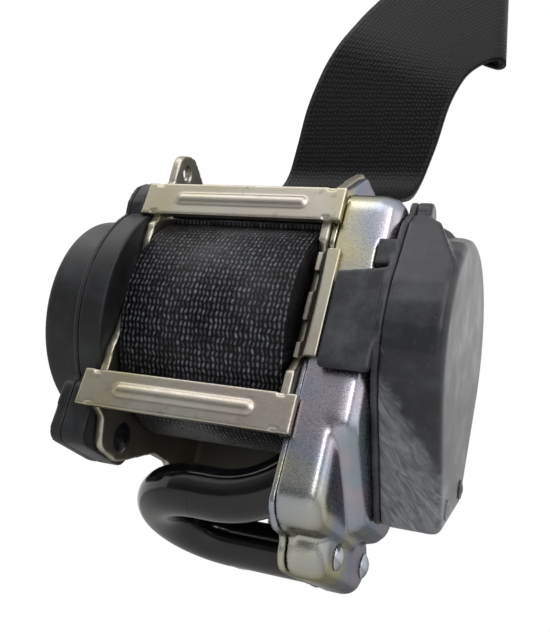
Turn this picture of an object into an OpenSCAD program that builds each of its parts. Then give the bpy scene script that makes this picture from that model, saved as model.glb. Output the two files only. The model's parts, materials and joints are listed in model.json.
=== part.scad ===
// Seat belt retractor with a tube pretensioner driven by a row of balls.
// X runs along the spool axis towards the pretensioner, Y towards the mounting face, Z up.
// The origin is the centre of the mounting bolt hole on the back face of the frame.

/* [Webbing] */
// Width of the belt webbing
webbing_w = 47; // [44:0.5:48]
// Thickness of the webbing
webbing_t = 1.2; // [0.8:0.1:1.4]
// Room behind the wound webbing
roll_room = 2.5; // [2:0.1:8]
// Least room between the wound webbing and a tie bar
bar_room = 2; // [1:0.1:8]
// Height of the free strap above the spool axis
strap_rise = 168; // [150:1:178]
// Width of the fold at the top of the free strap
fold_r = 4; // [3:0.5:6]

/* [Frame] */
// Clear width between the side plates
inner_w = 49.5; // [49:0.5:54]
// Thickness of the frame sheet
sheet_t = 2.5; // [2:0.1:3]
// Depth from the front of the tie bars to the mounting face
frame_depth = 66.5; // [66:0.5:72]
// Height of the mid line of the frame above the mounting bolt
bolt_drop = 46; // [44:0.5:50]
// Diameter of the mounting bolt hole
bolt_hole_d = 11; // [8:0.5:13]
// Diameter of the hole in the top ear
ear_hole_d = 4.4; // [3:0.1:6]

/* [Tie bars] */
// Length of a tie bar
bar_l = 60; // [58:0.5:64]
// Height of a tie bar
bar_h = 10; // [8:0.5:12]
// Thickness of a tie bar
bar_t = 2; // [1.5:0.1:2.5]
// Distance between the two tie bars
bar_spacing = 58.3; // [56:0.1:60]
// Length of the pressed rib on a tie bar
rib_l = 36; // [20:1:40]
// Width of the pressed rib
rib_w = 3.8; // [3:0.1:5]
// Height of the pressed rib
rib_h = 0.8; // [0.5:0.1:1.2]

/* [Spool] */
// Depth of the spool axis behind the front of the tie bars
axis_depth = 28.5; // [28:0.5:29.5]
// Height of the spool axis above the mid line of the frame
axis_rise = 1.2; // [0.8:0.1:2]
// Radius of the spool core
core_r = 15; // [13:0.5:17]
// Radius of the drive shaft
shaft_r = 6.3; // [5.6:0.1:6.6]
// Radius of the torsion bar
torsion_r = 4; // [3:0.1:4.5]

/* [Pretensioner] */
// Thickness of the pretensioner base plate
plate_t = 2; // [1.5:0.1:2.5]
// Wall of the drawn pretensioner housing
housing_t = 1.8; // [1.2:0.1:2]
// Depth of the housing over the pinion
housing_w = 16.2; // [15.5:0.1:18]
// Depth of the housing over the tube end
pocket_w = 11.3; // [11.1:0.1:12]
// Depth of the housing foot
foot_w = 9.4; // [9:0.1:10]
// Outer diameter of the pretensioner tube
tube_d = 13.5; // [12.5:0.1:14]
// Wall of the pretensioner tube
tube_wall = 1.4; // [1:0.1:1.6]
// Bend radius of the turn under the frame
turn_r = 16; // [15:0.5:18]
// Bend radius of the lift into the housing
lift_r = 28; // [26:0.5:28.5]
// Slope of the turn under the frame
turn_tilt = 12; // [10:1:14]
// Diameter of a drive ball
ball_d = 10.5; // [9:0.1:10.5]
// Number of drive balls in the tube
ball_count = 5; // [3:1:5]
// Number of ball seats on the drive pinion
seat_count = 9; // [9:1:9]

/* [Lock] */
// Number of lock teeth in the left side plate
lock_teeth = 18; // [18:1:18]
// Radius to the roots of the lock teeth
lock_root_r = 23.4; // [23:0.1:24]
// Radius to the tips of the lock teeth
lock_tip_r = 20.6; // [20.3:0.1:21]
// Number of teeth on the steering disc
disc_teeth = 30; // [30:1:30]
// Radius to the tips of the steering disc teeth
disc_r = 25.2; // [24:0.1:25.5]
// Diameter of the sensor ball
sensor_ball_d = 6.4; // [5.6:0.1:6.6]

/* [Covers] */
// Wall of the plastic covers
wall = 2; // [1.5:0.1:2.4]
// Depth of the lock mechanism base beside the frame
base_w = 7.3; // [6.5:0.1:9]
// Radius of the lock mechanism drum
drum_r = 30.9; // [29.5:0.1:32]
// Depth of the lock mechanism drum
drum_w = 15; // [14:0.5:20]
// Depth of the return spring cover
spring_cover_w = 15.2; // [13:0.2:18]
// Number of turns of the return spring
spring_turns = 7; // [5:1:8]

/* [Hidden] */
$fn = 64;

// Finishes
bright_zinc = "#b9b7ae";
yellow_zinc = "#c3bda6";
steel = "#8f9296";
black_plastic = "#2b2c2f";
grey_plastic = "#55575b";
black_paint = "#17181a";
webbing_black = "#1d1e21";
white_plastic = "#d8d8d4";

// Clearances
run = 0.06;
gap = 0.3;
over = 1;

// Main planes, measured from the mounting face and the bolt
front_y = -frame_depth;
mid_z = bolt_drop;
axis_y = front_y + axis_depth;
axis_z = mid_z + axis_rise;
half_in = inner_w / 2;
half_out = half_in + sheet_t;
plate_x = half_out;
flange_x = plate_x + plate_t;
housing_x = flange_x + housing_w;
pocket_x = flange_x + pocket_w;
foot_x = flange_x + foot_w;
spring_base_x = housing_x;
spring_cover_x = spring_base_x + wall;
spring_end_x = spring_cover_x + spring_cover_w;
base_x = half_out + base_w;
drum_x = base_x + drum_w;
drum_dish = 1.2;
drum_end_x = drum_x - wall - drum_dish;
bar_z = bar_spacing / 2;
back_in = frame_depth - sheet_t;
bar_reach = norm([axis_depth - bar_t, bar_z - bar_h / 2 - axis_rise]);
roll_r = min(back_in - axis_depth - roll_room, bar_reach - bar_room);

// Spool and shaft lengths
flange_t = 0.9;
spool_half = half_in - gap;
roll_half = webbing_w / 2;
journal_r = 5;
bush_r = 12;
bush_seat_r = 17;
core_bore_r = torsion_r + run;

// Lock mechanism, placed along X from the middle of the spool
head_r = lock_tip_r - 1.1;
head_in = spool_half;
head_out = half_out + 3.3;
pocket_floor = half_out + 0.5;
pawl_t = sheet_t - 0.1;
pawl_in = half_in + 0.05;
disc_in = head_out + 0.5;
disc_t = 4.5;
disc_out = disc_in + disc_t;
lever_in = disc_out + 0.4;
lever_t = 3;
pawl_pin_r = 1.6;
pawl_pivot = 12.5 * [cos(225), sin(225)];
pawl_angle = 123.8;
pawl_swing = 15;
disc_turn = 18;
guide_r = 1.4;
guide_arm = 9;
lever_pivot = [0, -15];

// Vehicle sensor, placed from the spool axis
block_z = -43.5;
sensor_pivot = [-19, -31];
sensor_ball_at = [-11, -36];
sensor_in = half_out + wall;
sensor_w = 6.4;
sensor_pin_r = 1.2;

// Tube route: lift beside the pinion, run under the frame, turn, run back
tube_r = tube_d / 2;
tube_bore_r = tube_r - tube_wall;
lift_x = flange_x + housing_w / 2 - 0.75;
seat_r = 12.5;
run_depth = axis_depth - seat_r;
run_z = -48;
lift_top = -10;
lift_straight = lift_top - run_z - lift_r;
run_straight = 4.6;
turn_angle = 180;
turn_swell = 0.04;
turn_nest = 0.3;
return_straight = flange_x - (lift_x - lift_r - run_straight);
return_depth = run_depth + 2 * turn_r * cos(turn_tilt);
return_z = run_z - 2 * turn_r * sin(turn_tilt);

function flat(p) = [p[0], p[1]];
function unit(v) = v / norm(v);
function turn_to(v) = atan2(v[1], v[0]);
function half_turn(a) = a - 360 * floor((a + 180) / 360);
function left_of(v) = unit([-v[1], v[0]]);
function spin(p, a) = [p[0] * cos(a) - p[1] * sin(a), p[0] * sin(a) + p[1] * cos(a)];

// One rounded corner of an outline, as points on its arc
function corner(before, at, after, r, steps = 5) =
    let (
        a = unit(before - at),
        b = unit(after - at),
        half = acos(max(-1, min(1, a * b))) / 2,
        centre = at + unit(a + b) * r / sin(half),
        first = turn_to(at + a * r / tan(half) - centre),
        sweep = half_turn(turn_to(at + b * r / tan(half) - centre) - first)
    )
    [for (i = [0:steps]) centre + r * [cos(first + sweep * i / steps), sin(first + sweep * i / steps)]];

// An outline of [x, y, corner radius] rows as a list of points
function rounded(rows) =
    let (n = len(rows))
    [
        for (i = [0:n - 1])
            each (rows[i][2] == 0
                ? [flat(rows[i])]
                : corner(flat(rows[(i + n - 1) % n]), flat(rows[i]), flat(rows[(i + 1) % n]), rows[i][2]))
    ];

// The same outline moved inwards by d, for outlines that run anticlockwise
function inset(rows, d) =
    let (n = len(rows))
    [
        for (i = [0:n - 1])
            let (
                p = flat(rows[i]),
                u = p - flat(rows[(i + n - 1) % n]),
                v = flat(rows[(i + 1) % n]) - p,
                m = left_of(u),
                k = left_of(v),
                q = p + d * (m + k) / (1 + m * k),
                convex = u[0] * v[1] - u[1] * v[0] > 0
            )
            [q[0], q[1], rows[i][2] == 0 ? 0 : convex ? max(rows[i][2] - d, 0.2) : rows[i][2] + d]
    ];

// Saw teeth round a circle: each rises from the root radius to the tip radius
function saw(count, root_r, tip_r, start, rise = 0.95) =
    [
        for (i = [0:count - 1])
            let (a = start + i * 360 / count)
            each [root_r * [cos(a), sin(a)], tip_r * [cos(a + rise * 360 / count), sin(a + rise * 360 / count)]]
    ];

// Outlines are drawn as depth behind the tie bars and height above the mid line
module side_sheet(x, t) {
    translate([x, front_y, mid_z]) rotate([90, 0, 90]) linear_extrude(height = t) children();
}

// Outlines drawn across the frame as X and height, built towards the back
module cross_sheet(depth, t) {
    translate([0, front_y + depth + t, mid_z]) rotate([90, 0, 0]) linear_extrude(height = t) children();
}

// Shapes round the spool axis, drawn in Y and Z and built along X
module on_axis(x) {
    translate([x, axis_y, axis_z]) rotate([90, 0, 90]) children();
}

module on_left() {
    mirror([1, 0, 0]) children();
}

module ring(x, len, outer_r, inner_r) {
    on_axis(x) difference() {
        cylinder(h = len, r = outer_r);
        translate([0, 0, -over]) cylinder(h = len + 2 * over, r = inner_r);
    }
}

module rod(x, len, r) {
    on_axis(x) cylinder(h = len, r = r);
}

// A round-edged disc, the corner of a drawn or moulded shell
module puck(at, r, h, edge) {
    translate([at[0], at[1], 0])
        for (i = [0:3])
            let (a = i * 30)
            cylinder(h = h - edge * (1 - sin(a)), r = r - edge * (1 - cos(a)), $fn = 32);
}

// A shell with round corners, grown outwards from the plane x
module domed(x, corners, h, edge, less = 0) {
    translate([x, front_y, mid_z]) rotate([90, 0, 90])
        hull() for (c = corners) puck(flat(c), c[2] - less, h - less, max(edge - less, 0.5));
}

// Frame

ear_at = [9, 43.5];
ear_r = 6;
top_z = bar_z + bar_h / 2;
horn = bar_t;
tab_r = 14;

left_rows = [
    [horn, -bar_z - bar_h / 2 + 1, 0], [7.5, -bar_z - bar_h / 2 - 1, 1.5], [10.5, -42.5, 4],
    [21, -43.5, 5], [38, -36, 4], [48, -35.5, 3], [56, -39, 0], [frame_depth, -39, 0],
    [frame_depth, 42, 0], [48, 44, 4], [24, 44, 4], [19, 47, 3], [ear_at[0] + 1, 50.5, ear_r], [3, 46, 5],
    [4, 36, 1.5], [horn, top_z, 0.6], [horn, bar_z - bar_h / 2 - 1, 0], [1, bar_z - bar_h / 2 - 3, 0.8],
    [1.2, 16, 0.8], [2.4, 12, 2], [2.4, -12, 2], [1.4, -18, 1.5], [horn, -22, 1.5]
];

right_rows = [
    [horn, -bar_z - bar_h / 2 + 1, 0], [8, -bar_z - bar_h / 2 + 1, 1.5], [11, -29.4, 2],
    [29, -29.4, 4], [38, -39, 4], [frame_depth, -39, 0], [frame_depth, 42, 0], [44, 45, 4],
    [30, 52, 3], [18, 51, 2], [4.5, 37, 1.5], [horn, top_z, 0.6], [horn, 19, 1],
    [4.6, 16.6, 0.8], [4.6, -14.2, 0.8], [horn, -18, 1]
];

module u_section() {
    w = half_out;
    translate([0, front_y, mid_z - 2 * bar_z])
        linear_extrude(height = 4 * bar_z)
            polygon(rounded([
                [-w, 0, 0], [-half_in, 0, 0], [-half_in, back_in, 1.5], [half_in, back_in, 1.5], [half_in, 0, 0],
                [w, 0, 0], [w, frame_depth, 1.5 + sheet_t], [-w, frame_depth, 1.5 + sheet_t]
            ]));
}

module mounting_tab() {
    rotate([90, 0, 0]) linear_extrude(height = sheet_t) {
        circle(r = tab_r);
        polygon([[-tab_r, 0], [tab_r, 0], [half_in - 3, bolt_drop - 38], [3 - half_in, bolt_drop - 38]]);
    }
}

module frame() {
    color(bright_zinc) difference() {
        union() {
            intersection() {
                u_section();
                union() {
                    side_sheet(-half_out - over, half_out + over) polygon(rounded(left_rows));
                    side_sheet(0, half_out + over) polygon(rounded(right_rows));
                }
            }
            mounting_tab();
        }
        rotate([90, 0, 0]) translate([0, 0, -over]) cylinder(h = sheet_t + 2 * over, d = bolt_hole_d);
        side_sheet(-half_out - over, sheet_t + 2 * over) translate(ear_at) circle(d = ear_hole_d);
        on_left() on_axis(half_in - over) linear_extrude(height = sheet_t + 2 * over)
            polygon(saw(lock_teeth, lock_root_r, lock_tip_r, 11.5));
        rod(half_in - over, sheet_t + 2 * over, bush_seat_r);
        side_sheet(-half_out - over, sheet_t + 2 * over) translate(rivet_at) circle(r = rivet_r);
    }
}

// Tie bars and front clip

stake_w = 2.2;

module rib_form(grow) {
    sag = rib_h + grow;
    half_w = rib_w / 2 + grow;
    r = (half_w * half_w + sag * sag) / (2 * sag);
    translate([0, r - rib_h - grow, 0]) {
        translate([-rib_l / 2, 0, 0]) rotate([0, 90, 0]) cylinder(h = rib_l, r = r);
        for (s = [-1, 1]) translate([s * rib_l / 2, 0, 0]) sphere(r = r);
    }
}

module tie_bar(z) {
    press = min(bar_t, 1.2) * 0.5;
    translate([0, front_y, mid_z + z]) difference() {
        union() {
            translate([-bar_l / 2, 0, -bar_h / 2]) cube([bar_l, bar_t, bar_h]);
            intersection() {
                rib_form(0);
                translate([-bar_l, -over, -bar_h / 2]) cube([2 * bar_l, over + bar_t / 2, bar_h]);
            }
        }
        intersection() {
            translate([0, bar_t, 0]) rib_form(-press / 2);
            translate([-bar_l, bar_t / 2 + press, -bar_h / 2]) cube([2 * bar_l, bar_t, bar_h]);
        }
        for (s = [-1, 1], t = [-1, 1])
            translate([s * (half_in + sheet_t / 2) - stake_w / 2, -over, t * bar_h / 2 - 1])
                cube([stake_w, over + 0.5, 2]);
    }
}

module upper_tie_bar() {
    color(yellow_zinc) tie_bar(bar_z);
}

module lower_tie_bar() {
    color(yellow_zinc) tie_bar(-bar_z);
}

clip_t = 1.4;
clip_z = [-13.8, 16.2];

module front_clip() {
    in_x = half_in + 0.3;
    out_x = flange_x;
    depth = 4.6 - clip_t;
    color(bright_zinc) translate([0, front_y, mid_z]) difference() {
        translate([in_x, depth, clip_z[0]]) cube([out_x - in_x, clip_t, clip_z[1] - clip_z[0]]);
        for (z = [-6.5, 7.6])
            translate([in_x - over, depth - over, z - 3]) cube([over + 1.7, clip_t + 2 * over, 6]);
    }
}

// Pretensioner plate and drawn housing

foot_z = -62.6;
slot_z = [-43, -31.5];
plate_rows = [
    [4.2, -40, 2], [4, -50, 4], [10, -54.5, 5], [17.5, -55, 2], [17.5, foot_z, 6], [54, foot_z + 1, 8],
    [frame_depth - 1, foot_z + 8, 8], [frame_depth - 1, -40, 8], [frame_depth - 5, 30, 8], [36, 44, 5], [28, 50, 3],
    [17, 49, 2], [4.5, 36, 2], [3, 30, 2], [3, 19, 1], [4.6, 16.6, 0.8], [4.6, -14.2, 0.8]
];
flange_rows = [
    [4.4, -40, 2], [4.2, -50, 4], [10, -54.2, 5], [17.9, -54.6, 2], [17.9, foot_z + 0.4, 6], [54, foot_z + 1.4, 8],
    [frame_depth - 1.4, foot_z + 8.3, 8], [frame_depth - 1.4, -40, 8], [frame_depth - 6, 30, 8], [50, 38, 5],
    [6, 36.5, 2], [3.4, 30, 2], [3.4, 19, 1], [5, 16.6, 0.8], [5, -14.2, 0.8]
];

module tube_slot(r) {
    hull_free_slot([run_depth, slot_z[0]], [run_depth, slot_z[1]], r);
}

// A slot with round ends from a to b
module hull_free_slot(a, b, r) {
    translate(a) circle(r = r);
    translate(b) circle(r = r);
    translate(a) rotate(turn_to(b - a)) translate([0, -r]) square([norm(b - a), 2 * r]);
}

module pretensioner_plate() {
    color(bright_zinc) side_sheet(plate_x, plate_t) difference() {
        polygon(rounded(plate_rows));
        tube_slot(tube_r + 0.7);
        translate([return_depth, return_z]) circle(r = tube_r + run);
        translate([axis_depth, axis_rise]) circle(r = bush_seat_r + 3);
        for (p = pocket_rivet_at) translate(p) circle(r = rivet_r + run);
    }
}

tall_corners = [[10.3, 29, 8], [10.3, -27, 8], [31, -41, 8], [50, -38, 10], [48, 24, 13]];
low_corners = [[10.3, -15, 8], [10.3, -45.6, 8], [40, -44.8, 8], [46, -20, 8]];
foot_corners = [[26, -54.6, 8], [56, -52.5, 9], [36, -40, 8]];
tall_edge = 6;
low_edge = 4;
pocket_rivet_at = [[31.3, -55.2], [58, -52.8]];
rivet_r = 2.5;
rivet_head_r = 3.6;
hook_at = [44.1, 16];
hook_w = 6;
hook_h = 8;

// The three drawn bodies, or their insides when made less by the wall and begun below the flange
module housing_body(less = 0, below = 0) {
    domed(flange_x - below, tall_corners, housing_w + below, tall_edge, less);
    domed(flange_x - below, low_corners, pocket_w + below, low_edge, less);
    domed(flange_x - below, foot_corners, foot_w + below, low_edge, less);
}

module pretensioner_housing() {
    color(yellow_zinc) difference() {
        union() {
            side_sheet(flange_x, housing_t) polygon(rounded(flange_rows));
            housing_body();
        }
        housing_body(housing_t, over / 2);
        rod(housing_x - housing_t - over, housing_t + 2 * over, shaft_r + 1.5);
        translate([hook_at[0] - hook_w / 2, front_y - over, mid_z + hook_at[1] - hook_h / 2])
            cube([hook_w + over, 8, hook_h]);
        for (p = pocket_rivet_at)
            side_sheet(foot_x - housing_t - over, housing_t + 2 * over) translate(p) circle(r = rivet_r + run);
        for (p = pocket_rivet_at) side_sheet(foot_x, 2 * over) translate(p) circle(r = rivet_head_r + 0.2);
    }
}

// A rivet along X with a low domed head at its outer end
module rivet(at, x0, x1, r, head_r, head_h) {
    dome_r = (head_r * head_r + head_h * head_h) / (2 * head_h);
    translate([0, front_y + at[0], mid_z + at[1]]) rotate([0, 90, 0]) {
        translate([0, 0, x0]) cylinder(h = x1 - x0, r = r);
        intersection() {
            translate([0, 0, x1 + head_h - dome_r]) sphere(r = dome_r);
            translate([0, 0, x1]) cylinder(h = head_h, r = head_r);
        }
    }
}

module pocket_rivets() {
    color(bright_zinc) for (p = pocket_rivet_at) rivet(p, plate_x, foot_x, rivet_r, rivet_head_r, 1.6);
}

// Pretensioner tube and what moves in it

// The wall of the tube, cut across; it swells a little where the tube is bent tight
module tube_section(swell = 0) {
    difference() {
        circle(r = tube_r + swell);
        circle(r = tube_bore_r - swell);
    }
}

module straight(length) {
    linear_extrude(height = length) tube_section();
}

// Draws one bend: from heading Z, it turns towards +X by the given angle
module bend(r, angle, swell = 0) {
    translate([r, 0, 0]) rotate([90, 0, 0]) rotate([0, 0, 180 - angle])
        rotate_extrude(angle = angle) translate([r, 0]) tube_section(swell);
}

// Carries its children to the end of such a bend
module after_bend(r, angle) {
    translate([r * (1 - cos(angle)), 0, r * sin(angle)]) rotate([0, angle, 0]) children();
}

module pretensioner_tube() {
    color(black_paint) translate([lift_x, front_y + run_depth, mid_z + lift_top]) rotate([180, 0, 0]) {
        straight(lift_straight);
        translate([0, 0, lift_straight]) rotate([0, 0, 180]) {
            bend(lift_r, 90);
            after_bend(lift_r, 90) {
                straight(run_straight + turn_nest);
                translate([0, 0, run_straight]) rotate([0, 0, 90 + turn_tilt]) {
                    bend(turn_r, turn_angle, turn_swell);
                    after_bend(turn_r, turn_angle) translate([0, 0, -turn_nest]) straight(return_straight + turn_nest);
                }
            }
        }
    }
}

tube_end_x = lift_x - lift_r - run_straight + return_straight;
generator_l = 22;
generator_head = 5;
generator_head_r = 5;

module along_return(x) {
    translate([x, front_y + return_depth, mid_z + return_z]) rotate([0, 90, 0]) children();
}

module gas_generator() {
    color(steel) {
        along_return(tube_end_x - generator_l) cylinder(h = generator_l, r = tube_bore_r - run);
        along_return(tube_end_x - 1) cylinder(h = generator_head + 1, r = generator_head_r);
    }
}

piston_l = 4;
piston_x = lift_x - lift_r - run_straight + 0.4;

module drive_piston() {
    color(white_plastic)
        translate([piston_x, front_y + run_depth, mid_z + run_z]) rotate([0, 90, 0])
            difference() {
                cylinder(h = piston_l, r = tube_bore_r - run);
                translate([0, 0, -over]) cylinder(h = piston_l - 2 + over, r = tube_bore_r - 1.6);
            }
}

ball_gap = 0.1;
bend_end = lift_straight + lift_r * PI / 2;
piston_face = bend_end + lift_x - lift_r - piston_x - piston_l;
last_ball = piston_face - ball_gap - ball_d / 2;

// Place of a ball, as X and height, at a distance s down the tube from its mouth
function ball_at(s) =
    s < lift_straight
        ? [lift_x, lift_top - s]
        : let (a = min(90, (s - lift_straight) / lift_r * 180 / PI))
          [lift_x - lift_r * (1 - cos(a)) - max(0, s - bend_end), run_z + lift_r * (1 - sin(a))];

module drive_balls() {
    color(steel)
        for (i = [0:ball_count - 1])
            let (p = ball_at(last_ball - i * (ball_d + ball_gap)))
            translate([p[0], front_y + run_depth, mid_z + p[1]]) sphere(d = ball_d);
}

pinion_in = flange_x + 2;
pinion_out = housing_x - housing_t - 0.4;

module drive_pinion() {
    seat_half = ball_d / 2 + 0.25;
    color(steel) difference() {
        rod(pinion_in, pinion_out - pinion_in, seat_r - 1);
        rod(pinion_in - over, pinion_out - pinion_in + 2 * over, shaft_r + run);
        on_axis(lift_x) for (i = [0:seat_count - 1])
            rotate([0, 0, 180 + (i + 0.5) * 360 / seat_count]) translate([seat_r, 0, 0]) sphere(r = seat_half);
    }
}

// Spool, webbing and shaft

arbor_r = 7.6;
shaft_end_x = spring_end_x - wall - 0.8;

module spool() {
    color(grey_plastic) difference() {
        union() {
            rod(-spool_half, 2 * spool_half, core_r);
            for (s = [-1, 1])
                rod(s > 0 ? spool_half - flange_t : -spool_half, flange_t, core_r + 5);
            rod(spool_half, half_out + 1 - spool_half, bush_r - run);
            rod(half_out, spring_base_x - half_out, shaft_r);
            rod(spring_base_x, shaft_end_x - spring_base_x, journal_r);
        }
        rod(-spool_half - over, 2 * spool_half - 3, core_bore_r);
        on_axis(-spool_half - over) translate([0, 0, 0]) rotate([0, 0, 30]) cylinder(h = 7, r = 7 + run, $fn = 6);
    }
}

module webbing_roll() {
    color(webbing_black) ring(-roll_half, webbing_w, roll_r, core_r + 0.1);
}

torsion_l = 2 * spool_half - 10;

module torsion_bar() {
    color(steel) {
        rod(-spool_half + 4, torsion_l + 1, torsion_r);
        on_axis(-spool_half) rotate([0, 0, 30]) cylinder(h = 5, r = 7, $fn = 6);
    }
}

// Locking mechanism beside the left plate

guide_rest = pawl_pivot + spin([guide_arm, 0], pawl_angle);
guide_locked = pawl_pivot + spin([guide_arm, 0], pawl_angle + pawl_swing);
guide_locked_on_disc = spin(guide_locked, -disc_turn);

module lock_head() {
    color(steel) on_left() difference() {
        union() {
            rod(head_in, head_out - head_in, head_r);
            rod(head_out, drum_end_x - 0.5 - head_out, journal_r);
        }
        on_axis(head_in - over) linear_extrude(height = pocket_floor - head_in + over)
            translate(pawl_pivot) rotate(pawl_angle) difference() {
                translate([-4.4, -3.7]) square([24, 24]);
                circle(r = pawl_pin_r);
            }
        on_axis(pocket_floor - over) translate((guide_rest + guide_locked) / 2)
            cylinder(h = head_out - pocket_floor + 2 * over, r = guide_r + 2.2);
    }
}

pawl_rows = [[-1, -3, 1], [10, -3.1, 3], [16.6, -1.2, 0.4], [16.2, 1, 0.4], [12, 2.4, 2], [5, 3.2, 2], [-1, 3.2, 1]];

module locking_pawl() {
    color(steel) on_left() {
        on_axis(pawl_in) linear_extrude(height = pawl_t)
            translate(pawl_pivot) rotate(pawl_angle) difference() {
                union() {
                    polygon(rounded(pawl_rows));
                    circle(r = 3.4);
                }
                circle(r = pawl_pin_r + run);
            }
        on_axis(pawl_in) translate(guide_rest) cylinder(h = disc_out - 0.5 - pawl_in, r = guide_r);
    }
}

disc_root_r = disc_r - 1.6;
disc_pin_r = 1.5;

module steering_disc() {
    color(white_plastic) on_left() {
        on_axis(disc_in) linear_extrude(height = disc_t) difference() {
            polygon(saw(disc_teeth, disc_root_r, disc_r, 6));
            circle(r = journal_r + run);
            hull_free_slot(guide_rest, guide_locked_on_disc, guide_r + 0.4);
            for (a = [20:40:100]) rotate(a) translate([14, 0]) circle(r = 4);
        }
        on_axis(disc_out) translate(lever_pivot) cylinder(h = lever_t + 0.6, r = disc_pin_r);
    }
}

lever_rows = [[-4, -3, 2], [6, -3.4, 2], [16, -2.4, 1.2], [17, 0.5, 1], [14, 4.5, 2], [4, 4, 2], [-4, 3, 2]];

module inertia_lever() {
    color(steel) on_left() on_axis(lever_in) linear_extrude(height = lever_t)
        translate(lever_pivot) difference() {
            polygon(rounded(lever_rows));
            circle(r = disc_pin_r + run);
        }
}

// Vehicle sensor under the steering disc

module at_sensor(x) {
    on_left() on_axis(x) children();
}

sensor_floor = sensor_ball_at[1] - sensor_ball_d / 2 - 0.1;
sensor_bed = block_z + wall - axis_rise;
sensor_rows = [
    [sensor_pivot[0] - 2.6, sensor_bed, 1], [sensor_ball_at[0] + 6.6, sensor_bed, 1],
    [sensor_ball_at[0] + 6.6, sensor_floor + 3, 0.5], [sensor_ball_at[0] + 5.2, sensor_floor + 3, 0],
    [sensor_ball_at[0] + 5.2, sensor_floor, 0], [sensor_pivot[0] + 2.6, sensor_floor, 0],
    [sensor_pivot[0] + 2.6, sensor_pivot[1] + 1.8, 1], [sensor_pivot[0] - 2.6, sensor_pivot[1] + 1.8, 1]
];

module sensor_housing() {
    color(black_plastic) difference() {
        union() {
            at_sensor(sensor_in) linear_extrude(height = sensor_w) polygon(rounded(sensor_rows));
            at_sensor(sensor_in) translate(sensor_pivot) cylinder(h = sensor_w, r = sensor_pin_r);
        }
        at_sensor(sensor_in + sensor_w / 2) translate(sensor_ball_at) sphere(r = sensor_ball_d / 2 + 0.15);
        at_sensor(sensor_in + 1.5) translate([sensor_pivot[0] - 3, sensor_floor + 1.2, 0])
            difference() {
                cube([8, 12, sensor_w - 3]);
                translate([3, sensor_pivot[1] - sensor_floor - 1.2, -over])
                    cylinder(h = sensor_w, r = sensor_pin_r);
            }
    }
}

module sensor_ball() {
    color(steel) at_sensor(sensor_in + sensor_w / 2) translate(sensor_ball_at) sphere(d = sensor_ball_d);
}

lever_tip = [-3.5, -26.8];
lever_floor = sensor_ball_at[1] + sensor_ball_d / 2 + gap;
sensor_lever_rows = [
    [sensor_pivot[0] - 1.8, sensor_pivot[1] - 1.8, 1], [sensor_pivot[0] + 4, lever_floor, 1],
    [sensor_ball_at[0] + 3, lever_floor, 1], [lever_tip[0] + 0.8, lever_tip[1] - 2, 0.6],
    [lever_tip[0] + 0.5, lever_tip[1], 0], [lever_tip[0] - 0.5, lever_tip[1], 0],
    [lever_tip[0] - 2.2, lever_tip[1] - 2.6, 0.6], [sensor_ball_at[0] + 2, lever_floor + 1.6, 1],
    [sensor_pivot[0] + 1.8, sensor_pivot[1] + 1.8, 1], [sensor_pivot[0] - 1.8, sensor_pivot[1] + 1.8, 1]
];

module sensor_lever() {
    color(white_plastic) at_sensor(sensor_in + 1.8) linear_extrude(height = sensor_w - 3.6) difference() {
        polygon(rounded(sensor_lever_rows));
        translate(sensor_pivot) circle(r = sensor_pin_r + run);
    }
}

rivet_at = [19, -37];

module sensor_rivet() {
    color(black_plastic) {
        on_left() rivet(rivet_at, half_in, half_out + wall - 0.4, rivet_r - run, 1, 0.2);
        difference() {
            on_left() mirror([1, 0, 0]) rivet(rivet_at, -half_in - over, -half_in, rivet_r - run, 4.2, 1.2);
            side_sheet(-half_in, 4) translate(rivet_at) circle(r = 1.3);
        }
    }
}

// Bushes

module right_bush() {
    color(white_plastic) {
        ring(half_in, sheet_t, bush_seat_r, bush_r);
        ring(half_out, 1, bush_seat_r + 2, bush_r);
    }
}

module left_bush() {
    color(white_plastic) on_left() ring(drum_end_x - 7, 7, journal_r + 2, journal_r + run);
}

// Lock mechanism base and drum

flange_ledge = 4.6;
flange_r = drum_r + flange_ledge;
crown_rows = [[20, 20, 0], [50, 20, 0], [46, 36, 6], [40, 38, 6], [6, 38, 3], [2, 34, 3], [-3, 20, 8]];
block_rows = [[3.4, -28, 3], [4.4, block_z, 4], [27, block_z, 4], [36, -31, 4], [30, -20, 0], [10, -20, 0]];

module base_outline(less) {
    translate([axis_depth, axis_rise]) circle(r = flange_r - less);
    polygon(rounded(inset(crown_rows, less)));
    polygon(rounded(inset(block_rows, less)));
}

module mechanism_base() {
    color(black_plastic) on_left() difference() {
        side_sheet(half_out, base_w) base_outline(0);
        side_sheet(half_out + wall, base_w) base_outline(wall);
        rod(half_out - over, wall + 2 * over, lock_tip_r + 0.2);
        side_sheet(half_out - over, wall + 2 * over) translate(rivet_at) circle(r = rivet_r);
        for (s = [-1, 1])
            translate([half_out - over, front_y - 5, mid_z + s * bar_z - bar_h / 2 - 0.4])
                cube([bar_l / 2 - half_out + over + 0.4, bar_t + 5 + gap, bar_h + 0.8]);
    }
}

block_w = 3.4;

module mechanism_cover() {
    bore_r = journal_r + 2 + run;
    color(black_plastic) on_left() {
        difference() {
            union() {
                side_sheet(base_x, 1.5) base_outline(0);
                on_axis(base_x) rotate_extrude() polygon(rounded([
                    [0, 0, 0], [drum_r, 0, 0], [drum_r, drum_w, 1.6], [drum_r - 6, drum_w, 1],
                    [drum_r - 7, drum_w - drum_dish, 1], [12, drum_w - drum_dish, 1], [11, drum_w, 1], [0, drum_w, 0]
                ]));
                side_sheet(base_x, block_w) polygon(rounded(block_rows));
            }
            rod(base_x - over, drum_end_x - base_x + over, drum_r - wall);
            side_sheet(base_x - over, block_w - wall + over) polygon(rounded(inset(block_rows, wall)));
        }
        ring(drum_end_x - 7, 7.2, bore_r + 2, bore_r);
    }
}

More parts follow.
